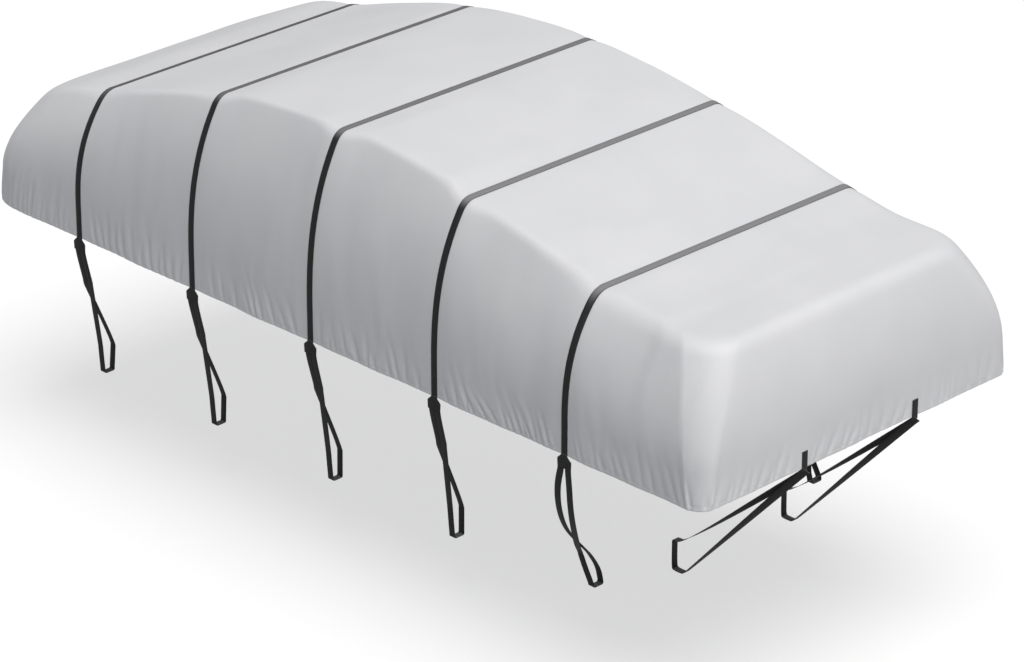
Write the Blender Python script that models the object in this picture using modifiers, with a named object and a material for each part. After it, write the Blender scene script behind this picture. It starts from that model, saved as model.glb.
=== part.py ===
"""Fitted cover for a pontoon boat.

One hollow cloth, five webbing straps over it, a forked webbing loop under each strap end for a
trailer's rail, and two tabs on the bow face with a loop each.

Units are metres. +X points to the bow, +Y to port and +Z up. The origin lies on the underside of the
cloth's top, on the centre line of the middle strap, where the boat's frame would hold it up.
"""
import math

import bmesh
import bpy
from mathutils import Vector

# ---------------------------------------------------------------- driving sizes
CLOTH = 0.003            # thickness of the cloth
CREST = 1.191            # height of the cloth's top above its hem at the middle strap
HEM_Z = CLOTH - CREST    # level of the hem
HALF_BEAM = 1.233        # half width at the hem
SIDE_INSET = 0.237       # how far each side leans in below its top edge
SIDE_UPRIGHT = 0.211     # height of the upright stretch above the hem
SIDE_CURVE = 0.4         # share of a plain square law in the lean of the sides, the rest is cubic
EDGE_LEG = 0.080         # size of the rounding between a side and the top

BOW_X = 2.973            # hem at the bow
BOW_INSET = 0.150        # how far the bow face leans back
BOW_HEM_RADIUS = 0.120   # plan radius of the bow corners at the hem
BOW_TOP_RADIUS = 0.315   # and at the top
STERN_X = -2.872         # hem at the stern
STERN_INSET = 0.105
STERN_HEM_RADIUS = 0.288
STERN_TOP_RADIUS = 0.439
END_CURVE = 0.93         # as SIDE_CURVE, for the two ends

# hem, lean, corner radius at the hem and at the top, by the end's direction along X
END_FORMS = {
    1: (BOW_X, BOW_INSET, BOW_HEM_RADIUS, BOW_TOP_RADIUS),
    -1: (STERN_X, STERN_INSET, STERN_HEM_RADIUS, STERN_TOP_RADIUS),
}

# Height of the cloth's top above the hem along the boat.
# x, height
RIDGE = (
    (-2.650, 0.638),
    (-2.300, 0.783),
    (-1.982, 0.856),
    (-0.991, 1.117),
    (0.000, 1.191),
    (0.991, 1.090),
    (1.982, 0.883),
    (2.300, 0.834),
    (2.600, 0.822),
)
RIDGE_RUN_ON = 0.6       # how far the last slopes run on past the table, in steps of it

# Rows of the walls from the top edge down: share of the rounding, or share of the side's height.
EDGE_ROWS = (1.0, 0.67, 0.33, 0.0)
SIDE_ROWS = (0.80, 0.66, 0.50, 0.32, 0.14)
UPRIGHT_ROWS = (1.0, 0.55, 0.16, 0.0)
WALL_ROWS = tuple(
    [("edge", value) for value in EDGE_ROWS]
    + [("side", value) for value in SIDE_ROWS]
    + [("upright", value) for value in UPRIGHT_ROWS]
)
UPRIGHT_SHARE = 0.24     # share of the corner's change of radius reached above the upright stretch
EDGE_SHARE = 0.94        # and below the rounding of the edge

STRAP_PITCH = 0.991
STRAP_COUNT = 5
STRAP_X = tuple((i - (STRAP_COUNT - 1) / 2) * STRAP_PITCH for i in range(STRAP_COUNT))
WEB_WIDTH = 0.045
WEB = 0.002              # thickness of the webbing
GAP = 0.0005             # between the webbing and the cloth
FACE_GAP = 0.0003        # between two webbing ends that meet
STRAP_END_Z = HEM_Z - 0.025

# Columns of the cloth beside each strap, and between two straps as shares of the pitch.
STRAP_COLUMNS = (-0.10, -0.028, 0.028, 0.10)
BETWEEN_COLUMNS = (0.26, 0.42, 0.58, 0.74)
STERN_COLUMNS = (-2.20,)
BOW_COLUMNS = (2.22, 2.38)
CORNER_LEAD = (1 / 3, 2 / 3)   # columns between those and the corners, as shares of the way
END_COLUMNS = 8          # columns across each end, between its corners
CORNER_COLUMNS = 4       # columns round each corner

STRAP_PULL = 0.005       # how far a tight strap draws the sides in
STRAP_PULL_REACH = 0.09
EDGE_PULL = 0.4          # share of it that is left on the rounding of the edge
HEM_WAVE_REACH = 0.30    # height over which the hem's broad waves fade
HEM_WAVE_FADE = 1.5      # power of that fading
HEM_QUIET_REACH = 0.12   # distance from a strap within which they fade
END_WAVE = 0.8           # share of them on the two ends
END_WAVE_SHIFT = 3.0
# The broad waves: radians per metre, size, shift from side to side in radians.
HEM_WAVES = (
    (7.1, 0.0060, 1.3),
    (12.7, 0.0042, -0.9),
    (19.0, 0.0030, 2.1),
)

STRAP_END_Y = HALF_BEAM - STRAP_PULL + GAP + WEB / 2   # middle of the webbing at a strap's end

# The round of the float and the trailer's rail that the loops go over; both are left out.
FLOAT_Y = 0.900
FLOAT_Z = HEM_Z - 0.225
FLOAT_RADIUS = 0.285
RAIL_TOP = HEM_Z - 0.760
RAIL_BOTTOM = HEM_Z - 0.941
RAIL_WIDTH = 0.068
CLEAR = 0.0015           # from the webbing's middle to the float and the rail
BEND = 0.008             # size of its turns round the rail's corners

# Loops under the strap ends; the branches and the foot are placed from the strap's centre line.
# strap, rail's outer face, fore branch at the rail, foot, aft branch at the rail, its sideways bow
LOOPS = (
    (1, 1.050, -0.066, -0.051, -0.034, 0.016),
    (2, 1.050, -0.065, -0.050, -0.040, 0.008),
    (3, 1.050, -0.064, -0.048, -0.045, 0.003),
    (4, 1.050, -0.067, -0.051, -0.050, 0.008),
    (5, 0.916, -0.185, -0.098, -0.141, 0.000),
)
# The flare where a strap becomes a loop: depth below the strap's end, half width.
FLARE = (
    (0.000, WEB_WIDTH / 2),
    (0.010, WEB_WIDTH / 2),
    (0.032, 0.050),
    (0.044, 0.050),
)
FORK_DROP = 0.062        # from the strap's end to where the branches part
BRANCH_OFFSET = 0.0265   # from the strap's centre line to each branch's
BRANCH_STEP = 0.005      # how far the fore branch lies outside the aft one
FLOAT_STEPS = 4          # steps of a branch on the float's round

# The last strap's loop hangs slack, clear of the float.
SLACK_STRAP = 5
# share of the drop, fore branch's distance from the centre line and its x, aft branch's likewise
SLACK_LINES = (
    (0.15, 1.222, 0.030, 1.215, -0.062),
    (0.30, 1.207, 0.022, 1.190, -0.089),
    (0.45, 1.176, 0.004, 1.153, -0.113),
    (0.60, 1.127, -0.028, 1.103, -0.136),
    (0.75, 1.058, -0.080, 1.038, -0.151),
    (0.88, 0.988, -0.137, 0.972, -0.124),
    (1.00, 0.918, -0.185, 0.895, -0.141),
)

# Tabs on the bow face and their loops.
# side, y of the tab
TABS = (
    ("s", -0.440),
    ("p", 0.442),
)
TAB_TOP = 0.098          # above the hem
TAB_END = -0.006
TAB_ROWS = (0.35, 0.70, 1.0)   # its rows above the hem, as shares of its top
TAB_GAP = 0.0008         # between a tab and the bow face
BOW_RAIL_X = 2.137       # front of the rail where the bow loops go round it
BOW_RAIL_DEPTH = 0.085
BOW_RAIL_RUN = (0.69, 0.72)   # direction of the rail there, x and y
BOW_BEND = 0.010         # size of the webbing's turns round that rail
# The fold under a bow tab: distance from the tab's end, share of the turn from the tab's lie to the
# loop's, half thickness.
FOLD = (
    (0.000, 0.0, WEB / 2),
    (0.012, 0.1, WEB),
    (0.035, 0.7, 1.2 * WEB),
    (0.060, 1.0, 1.3 * WEB),
)
FOLD_TAIL = 0.020        # from the fold to where its two layers part
LAYER_SPREAD = 1.6 * WEB   # from the loop's middle to each layer there
TURN_STEPS = 10          # steps in which each layer turns level on its way to the rail

# colour, roughness, metallic
CLOTH_LOOK = ((0.62, 0.63, 0.65), 0.75, 0.0)
WEB_LOOK = ((0.02, 0.02, 0.021), 0.7, 0.0)
SHARP_ANGLE = 40         # degrees, between faces that don't shade into each other


# ---------------------------------------------------------------- scene helpers
def clear_scene():
    for obj in list(bpy.data.objects):
        bpy.data.objects.remove(obj, do_unlink=True)


def new_collection(name):
    group = bpy.data.collections.new(name)
    bpy.context.scene.collection.children.link(group)
    return group


def material(name, look):
    colour, roughness, metallic = look
    made = bpy.data.materials.new(name)
    made.use_nodes = True
    shader = made.node_tree.nodes["Principled BSDF"]
    shader.inputs["Base Color"].default_value = (*colour, 1.0)
    shader.inputs["Roughness"].default_value = roughness
    shader.inputs["Metallic"].default_value = metallic
    return made


def finish_object(name, bm, group, look):
    mesh = bpy.data.meshes.new(name)
    bm.to_mesh(mesh)
    bm.free()
    mesh.shade_smooth()
    mesh.set_sharp_from_angle(angle=math.radians(SHARP_ANGLE))
    mesh.materials.append(material(name, look))
    obj = bpy.data.objects.new(name, mesh)
    group.objects.link(obj)
    return obj


def thicken(obj, thickness, side):
    solid = obj.modifiers.new("thickness", "SOLIDIFY")
    solid.thickness = thickness
    solid.offset = side
    solid.use_even_offset = True


# ---------------------------------------------------------------- form of the cloth
def ridge(x):
    """Height of the cloth's top above the hem, a smooth curve through the table."""
    last = len(RIDGE) - 1
    i = 0
    while i < last - 1 and x > RIDGE[i + 1][0]:
        i += 1
    x0, h0 = RIDGE[i]
    x1, h1 = RIDGE[i + 1]

    def slope(k):
        low = max(k - 1, 0)
        high = min(k + 1, last)
        return (RIDGE[high][1] - RIDGE[low][1]) / (RIDGE[high][0] - RIDGE[low][0])

    step = x1 - x0
    t = min(max((x - x0) / step, -RIDGE_RUN_ON), 1 + RIDGE_RUN_ON)
    rise0 = slope(i) * step
    rise1 = slope(i + 1) * step
    if t < 0:
        return h0 + rise0 * t
    if t > 1:
        return h1 + rise1 * (t - 1)
    return ((2 * t**3 - 3 * t**2 + 1) * h0 + (t**3 - 2 * t**2 + t) * rise0
            + (3 * t**2 - 2 * t**3) * h1 + (t**3 - t**2) * rise1)


def blend(a, b, t):
    return a * (1 - t) + b * t


def lean(share, curve):
    """How much of its lean a wall has at a share of its height, from 0 to 1."""
    return curve * share**2 + (1 - curve) * share**3


def wall_row(kind, value, height, inset, curve):
    """One row of a wall: how far in it lies, and how high above the hem."""
    rise = height - SIDE_UPRIGHT
    if kind == "upright":
        return 0.0, SIDE_UPRIGHT * value
    if kind == "side":
        return inset * lean(value, curve), SIDE_UPRIGHT + rise * value
    start = 1 - EDGE_LEG / rise
    low = (inset * lean(start, curve), SIDE_UPRIGHT + rise * start)
    corner = (inset, height)
    high = (inset + EDGE_LEG, height)
    weights = ((1 - value) ** 2, 2 * value * (1 - value), value**2)
    return tuple(sum(w * p[k] for w, p in zip(weights, (low, corner, high))) for k in (0, 1))


def row_share(kind, value):
    """Share of the way up from the hem to the top, for the plan radius of the corners."""
    if kind == "upright":
        return UPRIGHT_SHARE * value
    if kind == "side":
        return blend(UPRIGHT_SHARE, EDGE_SHARE, value)
    return blend(EDGE_SHARE, 1.0, value)


def strap_pull(x, row):
    """How far the straps draw a row of the sides in at x."""
    kind, _ = row
    near = min(abs(x - s) for s in STRAP_X)
    depth = STRAP_PULL * math.exp(-((near / STRAP_PULL_REACH) ** 2))
    return depth * (EDGE_PULL if kind == "edge" else 1.0)


def hem_wave(x, side, height):
    """Broad, uneven waves of the loose cloth above the hem."""
    fade = max(0.0, 1 - height / HEM_WAVE_REACH) ** HEM_WAVE_FADE
    wave = sum(size * math.sin(rate * x + shift * side) for rate, size, shift in HEM_WAVES)
    near = min(abs(x - s) for s in STRAP_X)
    quiet = 1 - math.exp(-((near / HEM_QUIET_REACH) ** 2))
    return wave * fade * quiet


def side_point(x, side, row):
    """Point of a side wall at x; side is -1 to starboard and 1 to port."""
    height = ridge(x)
    inset, up = wall_row(*row, height, SIDE_INSET, SIDE_CURVE)
    y = HALF_BEAM - inset - strap_pull(x, row) + hem_wave(x, side, up)
    return Vector((x, side * y, HEM_Z + up))


def end_size(end, row):
    """Position of an end wall along X, and its corner radius, on one row."""
    kind, value = row
    hem_x, inset, low_radius, high_radius = END_FORMS[end]
    height = ridge(hem_x - end * inset)
    back, _ = wall_row(kind, value, height, inset, END_CURVE)
    share = row_share(kind, value)
    return hem_x - end * back, low_radius + (high_radius - low_radius) * share


def end_point(end, place, row):
    """Point of an end wall; place runs from -1 at starboard to 1 at port, corners included.

    The corner arcs take the outer columns and the flat of the end the inner ones.
    """
    kind, value = row
    x_end, radius = end_size(end, row)
    side = -1 if place < 0 else 1
    arc_share = 2 * CORNER_COLUMNS / (2 * CORNER_COLUMNS + END_COLUMNS)
    flat_share = 1 - arc_share
    x_middle = x_end - end * radius / 2
    inset, _ = wall_row(kind, value, ridge(x_middle), SIDE_INSET, SIDE_CURVE)
    half = HALF_BEAM - inset
    if abs(place) <= flat_share:
        x = x_end
        y = (half - radius) * place / flat_share
    else:
        angle = (abs(place) - flat_share) / arc_share * math.pi / 2
        x = x_end - end * radius * (1 - math.cos(angle))
        y = side * (half - radius + radius * math.sin(angle))
    _, up = wall_row(kind, value, ridge(x), SIDE_INSET, SIDE_CURVE)
    swell = hem_wave(y + END_WAVE_SHIFT * end, side, up) * END_WAVE
    return Vector((x + end * swell, y, HEM_Z + up))


def lead_point(end, share, side, row):
    """Point of a side wall part of the way from its last fixed column to the corner."""
    fixed = BOW_COLUMNS[-1] if end > 0 else STERN_COLUMNS[0]
    x_end, radius = end_size(end, row)
    return side_point(blend(fixed, x_end - end * radius, share), side, row)


def side_stations():
    """The x of every column along a side, from stern to bow."""
    stations = list(STERN_COLUMNS)
    for i, centre in enumerate(STRAP_X):
        stations += [centre + dx for dx in STRAP_COLUMNS]
        if i < STRAP_COUNT - 1:
            stations += [centre + share * STRAP_PITCH for share in BETWEEN_COLUMNS]
    stations += list(BOW_COLUMNS)
    return stations


def side_columns(stations, side):
    columns = [("lead", (-1, share), side) for share in reversed(CORNER_LEAD)]
    columns += [("side", x, side) for x in stations]
    columns += [("lead", (1, share), side) for share in CORNER_LEAD]
    return columns


def perimeter():
    """Columns round the cloth, counter-clockwise from the starboard stern corner's middle.

    Each is ("side", x, side), ("lead", (end, share), side) or ("end", end, place).
    """
    stations = side_stations()
    half_corner = CORNER_COLUMNS // 2
    across = 2 * CORNER_COLUMNS + END_COLUMNS
    places = [-1 + 2 * k / across for k in range(across + 1)]
    columns = [("end", -1, p) for p in places[half_corner:0:-1]]
    columns += [("end", -1, places[0])]
    columns += side_columns(stations, -1)
    columns += [("end", 1, p) for p in places]
    columns += side_columns(stations, 1)[::-1]
    columns += [("end", -1, p) for p in places[:half_corner:-1]]
    return columns


def column_point(column, row):
    kind, first, second = column
    if kind == "side":
        return side_point(first, second, row)
    if kind == "lead":
        return lead_point(*first, second, row)
    return end_point(first, second, row)


def make_cover(group):
    """A grid over the flat top, and the walls drawn down from its rim row by row."""
    columns = perimeter()
    half_corner = CORNER_COLUMNS // 2
    along = len(side_columns(side_stations(), 1)) + 1 + 2 * half_corner
    across = len(columns) // 2 - along
    rim = [column_point(column, WALL_ROWS[0]) for column in columns]
    count = len(rim)
    low = rim[:along + 1]
    bow = rim[along:along + across + 1]
    high = rim[along + across:2 * along + across + 1][::-1]
    stern = [rim[-k % count] for k in range(across + 1)]

    first = half_corner + 1 + len(CORNER_LEAD)
    last = along - first

    def top_point(i, j):
        if i < first:
            x = blend(stern[j].x, low[first].x, (low[i].x - low[0].x) / (low[first].x - low[0].x))
        elif i > last:
            x = blend(low[last].x, bow[j].x, (low[i].x - low[last].x) / (low[-1].x - low[last].x))
        else:
            x = low[i].x
        shares = [(end[j].y - end[0].y) / (end[-1].y - end[0].y) for end in (stern, bow)]
        y = blend(low[i].y, high[i].y, blend(*shares, i / along))
        return Vector((x, y, HEM_Z + ridge(x)))

    bm = bmesh.new()
    column_of = bm.verts.layers.int.new("column")
    bmesh.ops.create_grid(bm, x_segments=along, y_segments=across, size=1.0)
    for vert in bm.verts:
        i = round((vert.co.x + 1) / 2 * along)
        j = round((vert.co.y + 1) / 2 * across)
        if j == 0:
            vert[column_of] = i
        elif i == along:
            vert[column_of] = along + j
        elif j == across:
            vert[column_of] = 2 * along + across - i
        elif i == 0:
            vert[column_of] = count - j
        vert.co = top_point(i, j)
    edges = [edge for edge in bm.edges if edge.is_boundary]
    for row in WALL_ROWS[1:]:
        drawn = bmesh.ops.extrude_edge_only(bm, edges=edges)["geom"]
        for vert in drawn:
            if isinstance(vert, bmesh.types.BMVert):
                vert.co = column_point(columns[vert[column_of]], row)
        edges = [edge for edge in drawn if isinstance(edge, bmesh.types.BMEdge) and edge.is_boundary]
    bmesh.ops.recalc_face_normals(bm, faces=bm.faces)
    if max(bm.faces, key=lambda face: face.calc_center_median().z).normal.z < 0:
        bmesh.ops.reverse_faces(bm, faces=bm.faces)
    cover = finish_object("cover", bm, group, CLOTH_LOOK)
    thicken(cover, CLOTH, -1)
    return cover


# ---------------------------------------------------------------- webbing
def offset_path(points, distance):
    """Move a path in a plane of constant x outwards by a distance."""
    moved = []
    for i, point in enumerate(points):
        before = points[max(i - 1, 0)]
        after = points[min(i + 1, len(points) - 1)]
        run = (after - before).normalized()
        moved.append(point + Vector((0, -run.z, run.y)) * distance)
    return moved


def strap_path(x):
    """The webbing's line over the cloth at x, from its starboard end to its port end."""
    up = [side_point(x, -1, row) for row in reversed(WALL_ROWS)]
    tail = Vector((x, up[0].y, STRAP_END_Z))
    down = [side_point(x, 1, row) for row in WALL_ROWS]
    far_tail = Vector((x, down[-1].y, STRAP_END_Z))
    return offset_path([tail] + up + down + [far_tail], GAP)


def ribbon(name, left, right, group):
    """A strip of webbing between two edge lines, thickened away from the cloth."""
    bm = bmesh.new()
    bmesh.ops.create_grid(bm, x_segments=1, y_segments=len(left) - 1, size=1.0)
    for vert in bm.verts:
        j = round((vert.co.y + 1) / 2 * (len(left) - 1))
        vert.co = left[j] if vert.co.x < 0 else right[j]
    strip = finish_object(name, bm, group, WEB_LOOK)
    thicken(strip, WEB, 1)
    return strip


def make_strap(index, group):
    x = STRAP_X[index - 1]
    half = WEB_WIDTH / 2
    return ribbon(f"strap_{index}", strap_path(x - half), strap_path(x + half), group)


RING_SIGNS = ((-1, 1), (1, 1), (1, -1), (-1, -1))
MITRE_LIMIT = 0.5        # keeps the corner of a sharp turn from running out


def band_rings(path, widths, turn):
    """Sections of webbing along a path; widths gives the direction across it at each point."""
    rings = []
    for i, point in enumerate(path):
        before = path[max(i - 1, 0)]
        after = path[min(i + 1, len(path) - 1)]
        run_in = (point - before).normalized() if i else (after - point).normalized()
        run_out = (after - point).normalized() if i < len(path) - 1 else run_in
        run = (run_in + run_out).normalized()
        across = (widths[i] - run * widths[i].dot(run)).normalized()
        normal = run.cross(across)
        half = WEB / 2 / max(run.dot(run_in), MITRE_LIMIT)
        signs = RING_SIGNS[turn:] + RING_SIGNS[:turn]
        rings.append([point + across * a * WEB_WIDTH / 2 + normal * n * half for a, n in signs])
    return rings


def make_fork(name, neck, band, closing, group):
    """A closed solid: a neck of six-point sections, and a band that leaves its end and returns."""
    bm = bmesh.new()
    neck_verts = [[bm.verts.new(p) for p in ring] for ring in neck]
    band_verts = [[bm.verts.new(p) for p in ring] for ring in band]
    end = neck_verts[-1]
    loops = [[end[k] for k in (0, 1, 4, 5)]] + band_verts + [[end[k] for k in closing]]
    bm.faces.new(neck_verts[0])
    for rings in (neck_verts, loops):
        for low, high in zip(rings, rings[1:]):
            size = len(low)
            for k in range(size):
                a, b = low[k], low[(k + 1) % size]
                c, d = high[(k + 1) % size], high[k]
                # the two faces of the webbing are split alike, so it keeps its thickness as it turns
                for corners in ((a, b, c), (a, c, d)) if k < size / 2 else ((a, b, d), (b, c, d)):
                    bm.faces.new(corners)
    bmesh.ops.recalc_face_normals(bm, faces=bm.faces)
    return finish_object(name, bm, group, WEB_LOOK)


def tangent_angle(point, radius):
    """Angle on the float's round where a straight run to the point leaves it, outboard."""
    dy = point[0] + FLOAT_Y
    dz = point[1] - FLOAT_Z
    reach = math.hypot(dy, dz)
    swing = math.acos(min(1.0, radius / reach))
    facing = math.atan2(dz, dy)
    return min(((facing + s * swing) % (2 * math.pi) for s in (-1, 1)), key=math.cos)


def branch_line(top, rail, radius):
    """A branch from the flare over the float to the rail, as (y, z) points."""
    first = tangent_angle(top, radius)
    last = tangent_angle(rail, radius)
    points = [top]
    if last > first:
        for k in range(FLOAT_STEPS + 1):
            angle = first + (last - first) * k / FLOAT_STEPS
            points.append((-FLOAT_Y + radius * math.cos(angle), FLOAT_Z + radius * math.sin(angle)))
    points.append(rail)
    return points


def tight_lines(row, start):
    """The aft and the fore branch of a loop drawn tight over the float."""
    _, rail_y, fore_x, _, aft_x, bow_out = row
    inner_y = -(rail_y - RAIL_WIDTH) + CLEAR
    lines = []
    for rail, radius, first_x, last_x, bow in (
        ((inner_y, RAIL_TOP), FLOAT_RADIUS + CLEAR, -BRANCH_OFFSET, aft_x, bow_out),
        ((-rail_y - CLEAR, RAIL_TOP), FLOAT_RADIUS + CLEAR + BRANCH_STEP, BRANCH_OFFSET, fore_x, 0.0),
    ):
        line = []
        for y, z in branch_line(start, rail, radius):
            share = min(1.0, (start[1] - z) / (start[1] - RAIL_TOP))
            x = blend(first_x, last_x, share) - bow * math.sin(math.pi * share)
            line.append(Vector((x, y, z)))
        lines.append(line)
    return lines


def slack_lines(start):
    """The aft and the fore branch of the loop that hangs slack."""
    aft = [Vector((-BRANCH_OFFSET, *start))]
    fore = [Vector((BRANCH_OFFSET, *start))]
    for share, fore_y, fore_x, aft_y, aft_x in SLACK_LINES:
        z = blend(start[1], RAIL_TOP, share)
        aft.append(Vector((aft_x, -aft_y, z)))
        fore.append(Vector((fore_x, -fore_y, z)))
    return aft, fore


def side_loop_path(row):
    """Points of the band round the rail to starboard, from the aft branch to the fore branch."""
    index, rail_y, fore_x, foot_x, aft_x, _ = row
    start = (-STRAP_END_Y, STRAP_END_Z - FORK_DROP)
    aft, fore = slack_lines(start) if index == SLACK_STRAP else tight_lines(row, start)
    foot_z = RAIL_BOTTOM - CLEAR
    inner = Vector((foot_x, -(rail_y - RAIL_WIDTH) + CLEAR, foot_z))
    outer = Vector((foot_x, -rail_y - CLEAR, foot_z))
    rail_middle = (RAIL_TOP + RAIL_BOTTOM) / 2
    foot = [
        Vector(((aft_x + foot_x) / 2, inner.y, rail_middle)),
        inner + Vector((0, 0, BEND)),
        inner + Vector((0, -BEND, 0)),
        outer + Vector((0, BEND, 0)),
        outer + Vector((0, 0, BEND)),
        Vector(((fore_x + foot_x) / 2, outer.y, rail_middle)),
    ]
    return aft + foot + fore[::-1]


def make_side_loop(row, side, group):
    index = row[0]
    x = STRAP_X[index - 1]
    centre_y = -STRAP_END_Y
    top = STRAP_END_Z - FACE_GAP
    neck = []
    for depth, half in FLARE:
        z = top - depth
        front = [Vector((dx, centre_y - WEB / 2, z)) for dx in (-half, 0, half)]
        back = [Vector((dx, centre_y + WEB / 2, z)) for dx in (half, 0, -half)]
        neck.append(front + back)
    path = side_loop_path(row)
    band = band_rings(path, [Vector((1, 0, 0))] * len(path), 0)
    shift = Vector((x, 0, 0))
    for rings in (neck, band):
        for ring in rings:
            for point in ring:
                point += shift
                if side == "p":
                    point.y = -point.y
    return make_fork(f"loop_{side}{index}", neck, band, (4, 3, 2, 1), group)


def bow_face_x(y, up):
    """The x of the cloth's bow face at y, read between its two nearest columns."""
    value = min(max(up, 0.0) / SIDE_UPRIGHT, 1.0)
    steps = 2 * CORNER_COLUMNS + END_COLUMNS
    row = [end_point(1, -1 + 2 * k / steps, ("upright", value)) for k in range(steps + 1)]
    k = max(i for i in range(steps) if row[i].y <= y)
    share = (y - row[k].y) / (row[k + 1].y - row[k].y)
    return blend(row[k].x, row[k + 1].x, share)


def make_bow_tab(side, y, group):
    heights = [TAB_END + FACE_GAP] + [share * TAB_TOP for share in TAB_ROWS]
    edges = []
    for edge_y in (y - WEB_WIDTH / 2, y + WEB_WIDTH / 2):
        line = [Vector((bow_face_x(edge_y, up) + TAB_GAP, edge_y, HEM_Z + up)) for up in heights]
        edges.append(line)
    return ribbon(f"bow_tab_{side}", edges[0], edges[1], group)


def turning_run(first, last, first_across, last_across):
    """Points of a straight run of webbing without its last, and the direction across at each."""
    shares = [k / TURN_STEPS for k in range(TURN_STEPS)]
    points = [blend(first, last, share) for share in shares]
    return points, [blend(first_across, last_across, share).normalized() for share in shares]


def make_bow_loop(side, y, group):
    """Fold under the tab, then two layers that part, turn level and go round the rail."""
    lie = 1 if side == "s" else -1
    half = WEB_WIDTH / 2
    x = bow_face_x(y, 0.0) + TAB_GAP + WEB / 2
    z = HEM_Z + TAB_END
    rail_run = Vector((BOW_RAIL_RUN[0], lie * BOW_RAIL_RUN[1], 0)).normalized()
    fold_run = Vector((BOW_RAIL_X - x, 0, (RAIL_TOP + RAIL_BOTTOM) / 2 - z)).normalized()
    fold_across = (rail_run - fold_run * rail_run.dot(fold_run)).normalized() * -lie
    neck = []
    place = Vector((x, y, z))
    reached = 0.0
    for distance, turned, thick in FOLD:
        run = (Vector((0, 0, -1)) * (1 - turned) + fold_run * turned).normalized()
        place = place + run * (distance - reached)
        reached = distance
        across = Vector((0, -1, 0)) * (1 - turned) + fold_across * turned
        across = (across - run * across.dot(run)).normalized()
        normal = run.cross(across)
        left = [place + across * half + normal * thick * k for k in (1, 0, -1)]
        right = [place - across * half + normal * thick * k for k in (-1, 0, 1)]
        neck.append(left + right)
    start = place + fold_run * FOLD_TAIL
    back_x = BOW_RAIL_X - BOW_RAIL_DEPTH
    foot_z = RAIL_BOTTOM - CLEAR
    part = fold_run.cross(fold_across)
    outline = (
        (BOW_RAIL_X - BOW_BEND, RAIL_TOP + CLEAR),
        (back_x, RAIL_TOP + CLEAR),
        (back_x - CLEAR, RAIL_TOP - BOW_BEND),
        (back_x - CLEAR, foot_z + BOW_BEND),
        (back_x + BOW_BEND, foot_z),
        (BOW_RAIL_X - BOW_BEND, foot_z),
        (BOW_RAIL_X + BOW_BEND / 2, foot_z + BOW_BEND),
    )
    corners = [Vector((px, y, pz)) for px, pz in outline]
    level = Vector((0, -1, 0))
    down, down_widths = turning_run(start + part * LAYER_SPREAD, corners[0], fold_across, level)
    back, back_widths = turning_run(start - part * LAYER_SPREAD, corners[-1], fold_across, level)
    path = down + corners + back[::-1]
    widths = down_widths + [level] * len(corners) + back_widths[::-1]
    band = band_rings(path, widths, 1)
    return make_fork(f"bow_loop_{side}", neck, band, (2, 1, 4, 3), group)


# ---------------------------------------------------------------- assembly
def build():
    clear_scene()
    group = new_collection("boat_cover")
    make_cover(group)
    for index in range(1, STRAP_COUNT + 1):
        make_strap(index, group)
    for row in LOOPS:
        for side in ("s", "p"):
            make_side_loop(row, side, group)
    for side, y in TABS:
        make_bow_tab(side, y, group)
        make_bow_loop(side, y, group)


build()
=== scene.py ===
"""Boat cover: detailed cloth, webbing, floor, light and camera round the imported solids.

Units are metres. +X points to the bow, +Y to port and +Z up, as in the frame.
"""

import math

import bpy
import numpy as np
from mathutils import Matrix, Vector


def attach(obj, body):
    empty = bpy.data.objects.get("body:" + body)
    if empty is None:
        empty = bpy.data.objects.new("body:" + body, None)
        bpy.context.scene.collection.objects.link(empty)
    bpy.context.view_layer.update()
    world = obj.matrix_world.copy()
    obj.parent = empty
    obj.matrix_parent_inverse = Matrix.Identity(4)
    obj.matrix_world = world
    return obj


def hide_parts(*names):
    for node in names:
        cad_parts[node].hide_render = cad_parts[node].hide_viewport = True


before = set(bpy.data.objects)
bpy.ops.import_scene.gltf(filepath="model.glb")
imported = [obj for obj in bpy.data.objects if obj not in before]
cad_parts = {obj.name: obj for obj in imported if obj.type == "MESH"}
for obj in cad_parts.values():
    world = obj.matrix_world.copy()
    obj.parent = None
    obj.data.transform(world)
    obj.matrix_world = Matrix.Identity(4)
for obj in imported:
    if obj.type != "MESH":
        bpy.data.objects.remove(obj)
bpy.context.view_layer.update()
TINY = 1e-12             # keeps a division clear of zero
MM = 1000                # millimetres in a metre

# -------------------------------- sizes shared with the solids
CLOTH = 0.003            # thickness of the cloth
CREST = 1.191            # height of the cloth's top above its hem at the middle strap
HEM_Z = CLOTH - CREST    # level of the hem
HALF_BEAM = 1.233        # half width at the hem
SIDE_INSET = 0.237       # how far each side leans in below its top edge
SIDE_UPRIGHT = 0.211     # height of the upright stretch above the hem
BOW_X = 2.973            # hem at the bow
STERN_X = -2.872         # hem at the stern
END_CURVE = 0.93         # share of a plain square law in the lean of the ends, the rest is cubic
# x, height of the cloth's top above the hem
RIDGE = ((-2.650, 0.638), (-2.300, 0.783), (-1.982, 0.856), (-0.991, 1.117), (0.000, 1.191),
         (0.991, 1.090), (1.982, 0.883), (2.300, 0.834), (2.600, 0.822))
RIDGE_RUN_ON = 0.6       # how far the last slopes run on past the table, in steps of it
UPRIGHT_SHARE = 0.24     # share of a corner's change of radius reached above the upright stretch
EDGE_SHARE = 0.94        # and below the rounding of the edge

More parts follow.
